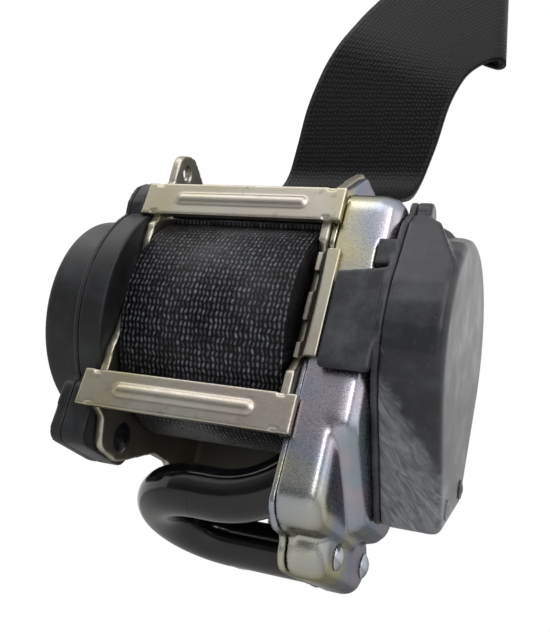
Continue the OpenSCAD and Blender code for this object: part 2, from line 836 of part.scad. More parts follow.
pin_ring = (drum_r + flange_r) / 2;
pin_at = [
    [9, 33], [axis_depth + pin_ring * cos(33), axis_rise + pin_ring * sin(33)],
    [axis_depth + pin_ring * cos(38), axis_rise - pin_ring * sin(38)]
];

module mechanism_pins() {
    color(black_plastic) on_left() for (p = pin_at) rivet(p, base_x + 1.5, base_x + 2.1, 2, 1.6, 0.7);
}

// Return spring side

cover_r = 31;
box_corners = [[axis_depth, axis_rise, cover_r], [33.8, -42.2, 2.8], [53.7, -29.1, 4]];
cover_edge = 2.5;

module spring_cover() {
    color(black_plastic) {
        difference() {
            union() {
                domed(spring_cover_x, box_corners, spring_cover_w, cover_edge);
                intersection() {
                    side_sheet(spring_cover_x, spring_cover_w) polygon(rounded(shoulder_rows));
                    cross_sheet(-over, 30) polygon([for (r = slope_rows) [spring_cover_x + r[0], r[1]]]);
                }
                side_sheet(spring_cover_x, 4) translate(lug_at) circle(r = lug_r);
                cross_sheet(12, 4) polygon([for (r = lug_rows) [spring_cover_x + r[0], r[1]]]);
            }
            cross_sheet(11, 6) translate([spring_cover_x + 12, 23]) circle(r = 1.4);
            translate([-over, 0, 0]) domed(spring_cover_x, box_corners, spring_cover_w + over, cover_edge, wall);
        }
    }
}

band_rows = [[-16.6, 0], [-16.6, 1], [10.8, 1], [9, 0]];
band_front = -1.2;
band_back = 1.3;
lug_at = [12, 33];
lug_r = 4;
shoulder_rows = [[-1, 10, 2], [24, 10, 0], [24, 33, 3], [8, 32, 3], [3, 26, 2]];
slope_rows = [[0, 5], [13.5, 5], [13.5, 15], [8, 27], [0, 34]];
lug_rows = [[6, 15], [15, 15], [15, 19], [9.5, 29], [6, 31]];

module spring_base() {
    band_x = flange_x + housing_t + 2;
    color(black_plastic) difference() {
        union() {
            domed(spring_base_x, box_corners, wall, 0.5);
            side_sheet(spring_base_x, wall) {
                polygon(rounded(shoulder_rows));
                translate(lug_at) circle(r = lug_r);
            }
            translate([0, front_y + band_back, mid_z]) rotate([90, 0, 0]) linear_extrude(height = band_back - band_front)
                polygon([
                    for (r = band_rows) [r[1] == 0 ? band_x : spring_base_x + 0.5, r[0]]
                ]);
            translate([hook_at[0] - hook_w / 2 + 0.4, front_y + 0.4, mid_z + hook_at[1] - hook_h / 2 + 0.4])
                cube([spring_base_x + wall / 2 - hook_at[0] + hook_w / 2 - 0.4, 6, hook_h - 0.8]);
        }
        rod(spring_base_x - over, wall + 2 * over, shaft_r + 0.5);
    }
}

module spring_pins() {
    color(black_plastic) for (p = [[35.4, -38], [51.5, -28.5]]) rivet(p, spring_end_x, spring_end_x + 0.4, 2.6, 2, 0.5);
}

spring_in_r = arbor_r + 0.3;
spring_out_r = cover_r - wall - 1;
spring_strip = 0.8;
spring_steps = 20;

module return_spring() {
    count = spring_turns * spring_steps;
    pitch = (spring_out_r - spring_in_r) / spring_turns;
    inner = [
        for (i = [0:count])
            let (a = i * 360 / spring_steps, r = spring_in_r + pitch * i / spring_steps)
            r * [cos(a), sin(a)]
    ];
    outer = [
        for (i = [count:-1:0])
            let (a = i * 360 / spring_steps, r = spring_in_r + spring_strip + pitch * i / spring_steps)
            r * [cos(a), sin(a)]
    ];
    color(steel) on_axis(spring_cover_x + 1) linear_extrude(height = spring_cover_w - wall - 2)
        polygon(concat(inner, outer));
}

module spring_arbor() {
    color(white_plastic) ring(spring_cover_x + 0.6, spring_cover_w - wall - 1.2, arbor_r, journal_r + run);
}

// Free strap: leaves the front of the roll, climbs behind the upper tie bar, rises and folds back over itself

// The middle line of its back face, as depth and height, and the length along it at each bend
leave = 40;
ramp_l = 65;
strap_start = [axis_depth - (roll_r + gap) * sin(leave), axis_rise + (roll_r + gap) * cos(leave)];
strap_bend = strap_start + ramp_l * [cos(leave), sin(leave)];
strap_crease = strap_bend + [-9.7, 46.9];
strap_path = [strap_start, strap_bend, strap_crease, [strap_crease[0] + 10.7, axis_rise + strap_rise]];
rise_l = norm(strap_crease - strap_bend);
top_l = norm(strap_path[3] - strap_crease);
strap_s = [0, ramp_l, ramp_l + rise_l, ramp_l + rise_l + top_l];

// Its edges, laid out flat as X and length along the strap
fold_x = 50;
fold_low = 117;
strap_left = [
    [-23.5, 0], [-23.5, 36], [-20.6, 52], [-15.4, 68.8], [-12.7, 82.5], [-9.2, 98.2], [-3, 118], [4.1, 157.2],
    [8.8, 180]
];
strap_right = [
    [23.5, 0], [23.5, 36], [26.8, 52], [32.7, 68.2], [35.9, 82.9], [39.3, 96.8], [44.6, 108.2], [49.8, 114.5],
    [53.7, 116.4], [60, fold_low]
];

// Points of a smooth line through the given ones
function smooth(p, steps = 4) =
    let (n = len(p) - 1)
    concat(
        [
            for (i = [0:n - 1], k = [0:steps - 1])
                let (
                    t = k / steps,
                    a = p[max(i - 1, 0)],
                    b = p[i],
                    c = p[i + 1],
                    d = p[min(i + 2, n)]
                )
                b + t / 2 * (c - a + t * (2 * a - 5 * b + 4 * c - d + t * (3 * (b - c) + d - a)))
        ],
        [p[n]]
    );

function backwards(p) = [for (i = [len(p) - 1:-1:0]) p[i]];

// Both layers and the round fold between them, cut across, with the front layer at the bottom
module strap_profile() {
    translate([-30, 0]) square([30 + fold_x, webbing_t]);
    translate([0, 2 * fold_r - webbing_t]) square([fold_x, webbing_t]);
    translate([fold_x, fold_r]) intersection() {
        difference() {
            circle(r = fold_r);
            circle(r = fold_r - webbing_t);
        }
        translate([0, -2 * fold_r]) square(4 * fold_r);
    }
}

module strap_outline() {
    polygon(concat(smooth(strap_right), [[60, 200], [9, 200]], backwards(smooth(strap_left))));
}

// Carries a flat piece of the strap, drawn as X and length, to its place after bend i
module strap_lay(i) {
    d = strap_path[i + 1] - strap_path[i];
    translate([0, front_y + strap_path[i][0], mid_z + strap_path[i][1]]) rotate([turn_to(d), 0, 0])
        translate([0, -strap_s[i], 0]) children();
}

module strap_panel(i, from, to) {
    strap_lay(i) linear_extrude(height = webbing_t) intersection() {
        strap_outline();
        translate([-60, from]) square([140, to - from]);
    }
}

module belt_strap() {
    color(webbing_black) {
        strap_panel(0, 0, strap_s[1]);
        strap_panel(1, strap_s[1], strap_s[2] + gap);
        strap_lay(2) intersection() {
            translate([0, strap_s[3], webbing_t]) rotate([90, 0, 0]) linear_extrude(height = top_l)
                mirror([0, 1]) strap_profile();
            union() {
                translate([0, 0, webbing_t - fold_r]) linear_extrude(height = fold_r + over) strap_outline();
                translate([0, 0, -2 * fold_r]) linear_extrude(height = fold_r + webbing_t + 0.01)
                    polygon([[60, fold_low], [60, 200], [0, 200], [0, fold_low + 50]]);
            }
        }
    }
}

frame();
upper_tie_bar();
lower_tie_bar();
front_clip();
pretensioner_plate();
pretensioner_housing();
pocket_rivets();
pretensioner_tube();
gas_generator();
drive_piston();
drive_balls();
drive_pinion();
spool();
webbing_roll();
torsion_bar();
lock_head();
locking_pawl();
steering_disc();
inertia_lever();
sensor_housing();
sensor_ball();
sensor_lever();
sensor_rivet();
right_bush();
left_bush();
mechanism_base();
mechanism_cover();
mechanism_pins();
spring_base();
spring_cover();
spring_pins();
return_spring();
spring_arbor();
belt_strap();
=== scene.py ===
# Seat belt retractor: the looks of every piece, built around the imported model, in metres.

import json
import math

import bmesh
import bpy
from mathutils import Matrix, Vector

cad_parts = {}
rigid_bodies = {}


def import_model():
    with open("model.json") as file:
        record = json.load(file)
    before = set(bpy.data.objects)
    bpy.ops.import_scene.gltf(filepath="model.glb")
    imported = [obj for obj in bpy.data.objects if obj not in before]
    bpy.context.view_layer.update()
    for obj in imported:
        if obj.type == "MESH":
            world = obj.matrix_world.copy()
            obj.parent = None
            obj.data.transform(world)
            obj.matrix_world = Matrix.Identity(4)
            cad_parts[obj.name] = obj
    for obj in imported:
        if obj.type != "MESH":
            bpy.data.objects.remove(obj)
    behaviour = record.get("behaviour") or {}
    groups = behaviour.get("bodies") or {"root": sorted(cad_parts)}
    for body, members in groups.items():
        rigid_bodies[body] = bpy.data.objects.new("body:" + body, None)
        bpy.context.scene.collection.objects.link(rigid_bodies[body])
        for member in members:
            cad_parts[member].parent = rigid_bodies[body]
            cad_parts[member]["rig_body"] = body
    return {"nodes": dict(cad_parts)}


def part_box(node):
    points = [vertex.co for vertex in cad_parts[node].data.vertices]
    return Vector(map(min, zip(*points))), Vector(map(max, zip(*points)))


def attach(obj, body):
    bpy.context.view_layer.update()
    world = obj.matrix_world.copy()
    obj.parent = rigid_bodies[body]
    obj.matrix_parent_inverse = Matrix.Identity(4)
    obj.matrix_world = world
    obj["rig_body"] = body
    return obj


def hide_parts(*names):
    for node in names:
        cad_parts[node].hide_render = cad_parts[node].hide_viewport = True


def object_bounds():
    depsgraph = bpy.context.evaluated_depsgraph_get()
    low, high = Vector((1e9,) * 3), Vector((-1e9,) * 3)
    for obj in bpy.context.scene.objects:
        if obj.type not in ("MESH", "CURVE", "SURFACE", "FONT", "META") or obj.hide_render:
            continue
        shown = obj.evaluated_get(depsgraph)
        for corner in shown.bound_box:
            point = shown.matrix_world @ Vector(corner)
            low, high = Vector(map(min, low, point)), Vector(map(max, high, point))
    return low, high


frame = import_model()
cad_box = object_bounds()
MM = 0.001

# Camera
# The photograph is taken from the front, the right and below the upright retractor.
# Its frame is taller than wide, so the long side of the sensor stands upright.
camera_at = Vector((0.0966, -0.2385, -0.0349))
camera_right = Vector((0.921, 0.310, 0.235)).normalized()
camera_up = Vector((-0.083, -0.435, 0.897))
camera_back = camera_right.cross(camera_up).normalized()
camera_up = camera_back.cross(camera_right)
lens = bpy.data.cameras.new("camera")
lens.lens = 46.24
lens.sensor_width = 36
lens.clip_start = 0.01
camera = bpy.data.objects.new("camera", lens)
camera.matrix_world = (
    Matrix.Translation(camera_at) @ Matrix((camera_right, camera_up, camera_back)).transposed().to_4x4()
)
bpy.context.scene.collection.objects.link(camera)
bpy.context.scene.camera = camera

# Free strap
# A black polyester belt, woven 47 mm wide and 1.2 mm thick. It leaves the front of the roll, climbs behind the
# upper bar, leans out to a slanted crease and back above it, and turns round on itself at the upper right.
strap_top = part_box("belt_strap")[1].z
roll_low, roll_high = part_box("webbing_roll")
webbing_w = roll_high.x - roll_low.x
webbing_t = 1.15 * MM
axis = (roll_low + roll_high) / 2
roll_r = (roll_high.z - roll_low.z) / 2
roll_gap = 0.3 * MM

# The edges of the strap laid flat, as millimetres across and along it from where it leaves the roll
left_edge = [
    (-23.5, 0), (-23.5, 18), (-22.8, 37), (-17.5, 51), (-14.6, 68.2), (-13.1, 82.8), (-11.8, 97.1), (-8.4, 111.6),
    (-4.5, 121.3), (1, 132.3), (6.7, 147.3), (15, 166), (34, 188), (47, 195), (60, 200),
]
right_edge = [
    (23.5, 0), (23.5, 18), (24.6, 37), (31.3, 51), (34.2, 68.5), (37.4, 83), (39.7, 96.4), (42.6, 105.7),
    (45.1, 111), (49.1, 115.8), (53, 118.5), (59, 120.5), (67, 125), (79, 134), (94, 148),
]

# Its slope where it leaves the roll, above the upper bar and above the crease, in degrees from level, and where
# it bends, in millimetres of the flat strap
leave_angle = 40
slopes = [math.radians(a) for a in (leave_angle, 101.7, 78.8)]
bend_steps = 60
bar_bend = 65
bar_round = 9
crease_at = (15.1, 122)
crease_slope = -0.47
crease_round = 12
fold_r = 4 * MM
fold_at = (52, 118.5)
fold_slope = -0.11


def along(points, share):
    """The point at a share of a smooth line through the given points."""
    last = len(points) - 1
    place = min(share * last, last - 1e-9)
    i = int(place)
    t = place - i
    a, b, c, d = (Vector(points[min(max(k, 0), last)]) for k in (i - 1, i, i + 1, i + 2))
    return b + t / 2 * (c - a + t * (2 * a - 5 * b + 4 * c - d + t * (3 * (b - c) + d - a)))


def slope_at(x, run):
    """The slope of the strap at a length along it: it turns behind the upper bar and at the slanted crease."""
    crease = crease_at[1] + crease_slope * (x - crease_at[0])
    slope = slopes[0]
    for i, (bend, half) in enumerate(((bar_bend, bar_round), (crease, crease_round))):
        slope += (slopes[i + 1] - slopes[i]) * min(max((run - bend + half) / (2 * half), 0), 1)
    return slope


def folded(x, run):
    """Where a point of the flat strap lies once it is bent and has turned round the fold at the right."""
    arc_r = fold_r - webbing_t / 2
    fold_x = fold_at[0] + fold_slope * (run - fold_at[1])
    past = (x - fold_x) * MM
    turn = min(max(past, 0) / arc_r, math.pi)
    column = min(x, fold_x)
    start_r = roll_r + roll_gap + webbing_t / 2
    away = Vector((-math.sin(slopes[0]), math.cos(slopes[0]))) * start_r
    for k in range(bend_steps):
        slope = slope_at(column, run * (k + 0.5) / bend_steps)
        away += Vector((math.cos(slope), math.sin(slope))) * run * MM / bend_steps
    place = Vector((column * MM, axis.y + away.x, axis.z + away.y))
    if past > 0:
        slope = slope_at(column, run)
        place += Vector((0, math.sin(slope), -math.cos(slope))) * arc_r * (1 - math.cos(turn))
        place.x += arc_r * math.sin(turn) - max(0, past - math.pi * arc_r)
    return place


def fresh(name, mesh):
    """A new object at the origin that holds the mesh."""
    made = bpy.data.objects.new(name, mesh)
    bpy.context.scene.collection.objects.link(made)
    return made


strap_rows = 150
strap_columns = 28
strap_mesh = bmesh.new()
cloth_map = strap_mesh.loops.layers.uv.new("weave")
grid = []
run_length = 0
before = None
for i in range(strap_rows + 1):
    left = along(left_edge, i / strap_rows)
    right = along(right_edge, i / strap_rows)
    middle = (left + right) / 2
    run_length += (middle - before).length * MM if before else 0
    before = middle
    row = []
    for j in range(strap_columns + 1):
        across = j / strap_columns
        spot = left.lerp(right, across)
        vert = strap_mesh.verts.new(folded(*spot))
        row.append((vert, (across * webbing_w, run_length)))
    grid.append(row)
for low, high in zip(grid, grid[1:]):
    for j in range(strap_columns):
        corners = (low[j], low[j + 1], high[j + 1], high[j])
        face = strap_mesh.faces.new([c[0] for c in corners])
        face.smooth = True
        for loop, corner in zip(face.loops, corners):
            loop[cloth_map].uv = corner[1]
bmesh.ops.bisect_plane(
    strap_mesh, geom=strap_mesh.verts[:] + strap_mesh.edges[:] + strap_mesh.faces[:],
    plane_co=(0, 0, strap_top), plane_no=(0, 0, 1), clear_outer=True,
)
strap_area = sum(f.calc_area() for f in strap_mesh.faces)
strap_data = bpy.data.meshes.new("belt_webbing")
strap_mesh.to_mesh(strap_data)
strap_mesh.free()
strap = fresh("belt_webbing", strap_data)
thick = strap.modifiers.new("thickness", "SOLIDIFY")
thick.thickness = webbing_t
thick.offset = 0
thick.use_even_offset = True


def linear(code):
    """An sRGB hex colour as linear red, green, blue and alpha."""
    parts = [int(code[k:k + 2], 16) / 255 for k in (1, 3, 5)]
    return [c / 12.92 if c <= 0.04045 else ((c + 0.055) / 1.055) ** 2.4 for c in parts] + [1]


def add(tree, kind, values=None, **settings):
    """Adds a node; values are its inputs, as numbers or as the output of another node."""
    made = tree.nodes.new(kind)
    for key, value in settings.items():
        setattr(made, key, value)
    for key, value in (values or {}).items():
        if isinstance(value, bpy.types.NodeSocket):
            tree.links.new(value, made.inputs[key])
        else:
            made.inputs[key].default_value = value
    return made.outputs[0]


def surface(name):
    """An empty material with its tree and its surface shader."""
    made = bpy.data.materials.new(name)
    made.use_nodes = True
    return made, made.node_tree, made.node_tree.nodes["Principled BSDF"]


# Polyester webbing, woven in fine ribs along the belt, dark between. Each rib is a chain of raised floats, their
# crowns painted paler as a painted sheen, that lean to and fro from row to row; the threads wander a little, so no
# two floats are quite alike.
float_pitch = 1.25 * MM
float_row = 1.76 * MM
float_slant = 0.26
float_step = 0.12
float_height = 0.12 * MM
thread_wander = 1.3 * MM
wander_patch = 4.5 * MM
fibre_patch = 1.6 * MM


def woven_polyester(name, raised):
    """The weave; raised is the colour painted on the crowns of its floats, as a painted sheen."""
    made, tree, shader = surface(name)
    place = add(tree, "ShaderNodeUVMap", uv_map="weave")
    wander = tree.nodes.new("ShaderNodeTexNoise")
    wander.inputs["Scale"].default_value = 1 / wander_patch
    tree.links.new(place, wander.inputs["Vector"])
    shift = add(tree, "ShaderNodeVectorMath", {0: wander.outputs["Color"], 1: (0.5, 0.5, 0.5)}, operation="SUBTRACT")
    shift = add(tree, "ShaderNodeVectorMath", {0: shift, "Scale": thread_wander}, operation="SCALE")
    loose = add(tree, "ShaderNodeVectorMath", {0: place, 1: shift}, operation="ADD")
    sides = tree.nodes.new("ShaderNodeSeparateXYZ")
    tree.links.new(loose, sides.inputs[0])
    rows = add(tree, "ShaderNodeMath", {0: sides.outputs[1], 1: 1 / float_row}, operation="MULTIPLY")
    swing = add(tree, "ShaderNodeMath", {0: rows, 1: 1.0}, operation="PINGPONG")
    columns = add(tree, "ShaderNodeMath", {0: sides.outputs[0], 1: 1 / float_pitch}, operation="MULTIPLY")
    leant = add(tree, "ShaderNodeMath", {0: swing, 1: float_slant, 2: columns}, operation="MULTIPLY_ADD")
    rib = add(tree, "ShaderNodeMath", {0: leant}, operation="FLOOR")
    across_rib = add(tree, "ShaderNodeMath", {0: leant}, operation="FRACT")
    odd = add(tree, "ShaderNodeMath", {0: rib, 1: 1.0}, operation="PINGPONG")
    stepped = add(tree, "ShaderNodeMath", {0: odd, 1: float_step, 2: rows}, operation="MULTIPLY_ADD")
    float_number = add(tree, "ShaderNodeMath", {0: stepped}, operation="FLOOR")
    along_float = add(tree, "ShaderNodeMath", {0: stepped}, operation="FRACT")
    which = add(tree, "ShaderNodeCombineXYZ", {0: rib, 1: float_number})
    chance = add(tree, "ShaderNodeTexWhiteNoise", {"Vector": which}, noise_dimensions="2D")
    domes = []
    for share, power in ((across_rib, 3.4), (along_float, 1.4)):
        angle = add(tree, "ShaderNodeMath", {0: share, 1: math.pi}, operation="MULTIPLY")
        wave = add(tree, "ShaderNodeMath", {0: angle}, operation="SINE")
        domes.append(add(tree, "ShaderNodeMath", {0: wave, 1: power}, operation="POWER"))
    crown = add(tree, "ShaderNodeMapRange", {"Value": domes[1], 3: 0.08, 4: 1.0})
    height = add(tree, "ShaderNodeMath", {0: domes[0], 1: crown}, operation="MULTIPLY")
    fibre = add(tree, "ShaderNodeTexNoise", {"Vector": place, "Scale": 1 / fibre_patch, "Detail": 4})
    worn = add(tree, "ShaderNodeMapRange", {"Value": fibre, 1: 0.3, 2: 0.7, 3: 0.2, 4: 1.4})
    share = add(tree, "ShaderNodeMapRange", {"Value": chance, 3: 0.3, 4: 1.35})
    # Painted sheen: the crown of each float is painted towards the raised colour, by its dome, fibre and chance
    tone = add(tree, "ShaderNodeMath", {0: height, 1: worn}, operation="MULTIPLY")
    tone = add(tree, "ShaderNodeMath", {0: tone, 1: share}, operation="MULTIPLY", use_clamp=True)
    add(tree, "ShaderNodeMix", {0: tone, 6: linear("#030304"), 7: linear(raised)}, data_type="RGBA")
    tree.links.new(tree.nodes[-1].outputs[2], shader.inputs["Base Color"])
    relief = add(tree, "ShaderNodeBump", {"Strength": 1.0, "Distance": float_height, "Height": height})
    tree.links.new(relief, shader.inputs["Normal"])
    shader.inputs["Roughness"].default_value = 0.4
    shader.inputs["Specular IOR Level"].default_value = 0.15
    return made


strap_polyester = woven_polyester("strap_polyester", "#0c0d0f")
strap_data.materials.append(strap_polyester)
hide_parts("belt_strap")
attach(strap, "frame_body")

# Wound roll
# The rest of the same belt, wound on the spool in fourteen turns. Each turn of the strip is real, so
# the ends of the roll show the edges of the turns. Its outer faces take a lit copy of the weave with paler floats: a
# painted sheen.
sheen_painted_polyester = woven_polyester("sheen_painted_polyester", "#6a6c74")
core_r = 15.2 * MM
turn_pitch = 1.2 * MM
turns = int((roll_r - core_r) / turn_pitch)
steps_per_turn = 90


def spiral_strip():
    """A tree that winds a strip of a given thickness and width into a spiral."""
    tree = bpy.data.node_groups.new("wound_strip", "GeometryNodeTree")
    for name, kind in (("Turns", "NodeSocketFloat"), ("Start", "NodeSocketFloat"), ("End", "NodeSocketFloat"),
                       ("Thickness", "NodeSocketFloat"), ("Width", "NodeSocketFloat")):
        tree.interface.new_socket(name, in_out="INPUT", socket_type=kind)
    tree.interface.new_socket("Geometry", in_out="OUTPUT", socket_type="NodeSocketGeometry")
    sizes = tree.nodes.new("NodeGroupInput").outputs
    line = add(tree, "GeometryNodeCurveSpiral", {
        "Resolution": steps_per_turn, "Rotations": sizes["Turns"], "Start Radius": sizes["Start"],
        "End Radius": sizes["End"], "Height": 0, "Reverse": True,
    })
    upright = add(tree, "GeometryNodeSetCurveNormal", {"Curve": line}, mode="Z_UP")
    section = add(tree, "GeometryNodeCurvePrimitiveQuadrilateral", {
        "Width": sizes["Thickness"], "Height": sizes["Width"],
    })
    strip = add(tree, "GeometryNodeCurveToMesh", {"Curve": upright, "Profile Curve": section, "Fill Caps": True})
    real = add(tree, "GeometryNodeRealizeInstances", {"Geometry": strip})
    finish = add(tree, "GeometryNodeSetMaterial", {"Geometry": real, "Material": sheen_painted_polyester})
    tree.links.new(finish, tree.nodes.new("NodeGroupOutput").inputs["Geometry"])
    return tree


def grown(name, tree, sizes):
    """The plain mesh that a tree grows with the given sizes."""
    seed = fresh(name + "_seed", bpy.data.meshes.new(name + "_seed"))
    maker = seed.modifiers.new("maker", "NODES")
    maker.node_group = tree
    for socket in tree.interface.items_tree:
        if socket.in_out == "INPUT" and socket.name in sizes:
            maker[socket.identifier] = sizes[socket.name]
    seed.update_tag()
    ready = seed.evaluated_get(bpy.context.evaluated_depsgraph_get())
    mesh = bpy.data.meshes.new_from_object(ready)
    mesh.name = name
    bpy.data.objects.remove(seed)
    return mesh


roll_data = grown("wound_webbing", spiral_strip(), {
    "Turns": float(turns), "Start": core_r, "End": roll_r - webbing_t / 2, "Thickness": webbing_t, "Width": webbing_w,
})
roll_data.transform(
    Matrix.Translation(axis) @ Matrix.Rotation(math.radians(90), 4, "Y")
    @ Matrix.Rotation(math.radians(180 + leave_angle), 4, "Z")
)
roll_map = roll_data.uv_layers.get("weave") or roll_data.uv_layers.new(name="weave")
for face in roll_data.polygons:
    spots = [roll_data.vertices[v].co - axis for v in face.vertices]
    angles = [math.atan2(s.z, -s.y) for s in spots]
    wraps = max(angles) - min(angles) > math.pi
    for loop, spot, angle in zip(face.loop_indices, spots, angles):
        full = angle + 2 * math.pi if wraps and angle < 0 else angle
        roll_map.data[loop].uv = (spot.x + webbing_w / 2, full * roll_r)

# The edges of the turns at the ends of the roll take the strap's dark weave, without the painted sheen
roll_data.materials.append(strap_polyester)
for face in roll_data.polygons:
    face.material_index = 1 if abs(face.normal.x) > 0.9 else 0
roll = fresh("wound_webbing", roll_data)
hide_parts("webbing_roll")
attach(roll, "spool_body")

# Pressed frame
# A channel of 2.5 mm steel sheet, blanked, bent and zinc plated, with a pale straw passivation. The cut
# edges are slightly round.
same_point = 1e-6
film_patch = 38 * MM
grime_patch = 5 * MM
zinc_grain = 0.4 * MM


def softened(node, voxel, passes):
    """A copy of a CAD node with its edges rounded as pressing or moulding leaves them."""
    source = frame["nodes"][node]
    mesh = source.data.copy()
    body = source["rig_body"]
    loose = bmesh.new()
    loose.from_mesh(mesh)
    bmesh.ops.remove_doubles(loose, verts=loose.verts, dist=same_point)
    loose.to_mesh(mesh)
    loose.free()
    mesh.materials.clear()
    made = fresh(node + "_part", mesh)
    remesh = made.modifiers.new("skin", "REMESH")
    remesh.mode = "VOXEL"
    remesh.voxel_size = voxel
    relax = made.modifiers.new("relax", "SMOOTH")
    relax.factor = 0.5
    relax.iterations = passes
    ready = made.evaluated_get(bpy.context.evaluated_depsgraph_get())
    skin = bpy.data.meshes.new_from_object(ready)
    skin.name = node + "_part"
    made.modifiers.clear()
    made.data = skin
    for face in skin.polygons:
        face.use_smooth = True
    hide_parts(node)
    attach(made, body)
    return made


def zinc_plate(name, pale, straw, blush, sea, shine, bloom):
    """Zinc plate with a thin passivation film, whose colour drifts over a few centimetres."""
    made, tree, shader = surface(name)
    place = tree.nodes.new("ShaderNodeTexCoord").outputs["Object"]
    drift = add(tree, "ShaderNodeTexNoise", {
        "Vector": place, "Scale": 1 / film_patch, "Detail": 2, "Distortion": 0.4,
    })
    film = tree.nodes.new("ShaderNodeValToRGB")
    tree.links.new(drift, film.inputs[0])
    stops = film.color_ramp.elements
    stops[0].position = 0.3
    stops[0].color = linear(straw)
    stops[1].position = 0.7
    stops[1].color = linear(sea)
    for spot, colour in ((0.43, pale), (0.53, blush), (0.61, pale)):
        stops.new(spot).color = linear(colour)
    grime = add(tree, "ShaderNodeTexNoise", {
        "Vector": place, "Scale": 1 / grime_patch, "Detail": 6, "Roughness": 0.7,
    })
    smudge = add(tree, "ShaderNodeMapRange", {"Value": grime, 1: 0.6, 2: 0.76, 3: 0.0, 4: bloom})
    add(tree, "ShaderNodeMix", {0: smudge, 6: film.outputs[0], 7: linear("#4a4a4c")}, data_type="RGBA")
    tree.links.new(tree.nodes[-1].outputs[2], shader.inputs["Base Color"])
    grain = add(tree, "ShaderNodeTexNoise", {"Vector": place, "Scale": 1 / zinc_grain, "Detail": 3})
    gloss = add(tree, "ShaderNodeMapRange", {"Value": grain, 1: 0.3, 2: 0.7, 3: shine - 0.07, 4: shine + 0.1})
    tree.links.new(gloss, shader.inputs["Roughness"])
    relief = add(tree, "ShaderNodeBump", {"Strength": 0.45, "Distance": 0.05 * MM, "Height": grain})
    tree.links.new(relief, shader.inputs["Normal"])
    shader.inputs["Metallic"].default_value = 1
    shader.inputs["Specular Tint"].default_value = linear("#8c8c8c")
    return made


plain_zinc = zinc_plate("zinc_plated_steel", "#b3b0a4", "#aea78f", "#b0a79c", "#a3a69f", shine=0.36, bloom=0.5)
pressed = softened("frame", voxel=0.55 * MM, passes=3)
pressed.data.materials.append(plain_zinc)

# Tie bars and front clip
# Two flat bars with a pressed rib and a small sheet clip, staked into the front edges of the side plates.
# The free edge of the clip lies over the front of the housing beside it.
for bar in ("upper_tie_bar", "lower_tie_bar"):
    piece = softened(bar, voxel=0.3 * MM, passes=3)
    piece.data.materials.append(plain_zinc)
clip = softened("front_clip", voxel=0.3 * MM, passes=2)
clip_low, clip_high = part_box("front_clip")
clip_foot, clip_reach, clip_rise, clip_step = 1.7 * MM, 2.8 * MM, 2.4 * MM, 0.9 * MM
clip_root = clip_low.x + clip_foot
for vert in clip.data.vertices:
    past_root = max(vert.co.x - clip_root, 0)
    vert.co.x += clip_reach * past_root / (clip_high.x - clip_root)
    vert.co.y -= clip_rise * min(past_root / clip_step, 1)
clip.data.materials.append(plain_zinc)

# Pretensioner plate and housing
# A flat plate and a deep-drawn housing of 1.8 mm sheet, zinc plated with an iridescent chromate film that
# shows straw, rose and sea green. The foot is closed by two domed rivets.
rainbow_zinc = zinc_plate("iridescent_zinc", "#9ba1ac", "#bbb597", "#aca4ad", "#98aaad", shine=0.27, bloom=0.15)
for sheet, voxel in (("pretensioner_plate", 0.5), ("pretensioner_housing", 0.55)):
    piece = softened(sheet, voxel * MM, passes=12)
    piece.data.materials.append(rainbow_zinc)
rivets = softened("pocket_rivets", voxel=0.25 * MM, passes=2)
bright_zinc = zinc_plate("clear_zinc", "#b6bac0", "#b2b5ba", "#aeb3bb", "#abb3b7", shine=0.24, bloom=0.1)
rivets.data.materials.append(bright_zinc)

# Pretensioner tube
# A bent steel tube with a gloss black coat. Smooth lacquer over drawn steel: deep black with clean highlights
# and a faint orange peel.
peel_patch = 2.5 * MM
dust_patch = 6 * MM


def black_lacquer():
    """Sprayed black lacquer, with a little dust on it."""
    made, tree, shader = surface("black_lacquer")
    place = tree.nodes.new("ShaderNodeTexCoord").outputs["Object"]
    peel = add(tree, "ShaderNodeTexNoise", {"Vector": place, "Scale": 1 / peel_patch, "Detail": 2})
    relief = add(tree, "ShaderNodeBump", {"Strength": 0.12, "Distance": 0.1 * MM, "Height": peel})
    tree.links.new(relief, shader.inputs["Normal"])
    dust = add(tree, "ShaderNodeTexNoise", {"Vector": place, "Scale": 1 / dust_patch, "Detail": 5})
    tone = add(tree, "ShaderNodeMapRange", {"Value": dust, 1: 0.4, 2: 0.8})
    add(tree, "ShaderNodeMix", {0: tone, 6: linear("#060607"), 7: linear("#111214")}, data_type="RGBA")
    tree.links.new(tree.nodes[-1].outputs[2], shader.inputs["Base Color"])
    gloss = add(tree, "ShaderNodeMapRange", {"Value": dust, 1: 0.35, 2: 0.75, 3: 0.1, 4: 0.2})
    tree.links.new(gloss, shader.inputs["Roughness"])
    shader.inputs["IOR"].default_value = 1.5
    return made


tube = frame["nodes"]["pretensioner_tube"]
tube.data.materials.clear()
tube.data.materials.append(black_lacquer())

# Hidden steel pieces
# The works inside the covers and the tube: turned and hardened steel, left bare and oiled. An even grey with
# fine marks.
mark_patch = 1.5 * MM


def bare_steel():
    """Bare oiled steel, with marks of its making."""
    made, tree, shader = surface("bare_steel")
    place = tree.nodes.new("ShaderNodeTexCoord").outputs["Object"]
    marks = add(tree, "ShaderNodeTexNoise", {"Vector": place, "Scale": 1 / mark_patch, "Detail": 5})
    tone = add(tree, "ShaderNodeMapRange", {"Value": marks, 1: 0.3, 2: 0.7})
    add(tree, "ShaderNodeMix", {0: tone, 6: linear("#8a8c8f"), 7: linear("#a9abad")}, data_type="RGBA")
    tree.links.new(tree.nodes[-1].outputs[2], shader.inputs["Base Color"])
    gloss = add(tree, "ShaderNodeMapRange", {"Value": marks, 1: 0.3, 2: 0.7, 3: 0.25, 4: 0.4})
    tree.links.new(gloss, shader.inputs["Roughness"])
    shader.inputs["Metallic"].default_value = 1
    return made


steel = bare_steel()
for name in ("gas_generator", "drive_balls", "drive_pinion", "torsion_bar", "lock_head", "locking_pawl",
             "inertia_lever", "sensor_ball", "return_spring"):
    frame["nodes"][name].data.materials.clear()
    frame["nodes"][name].data.materials.append(steel)

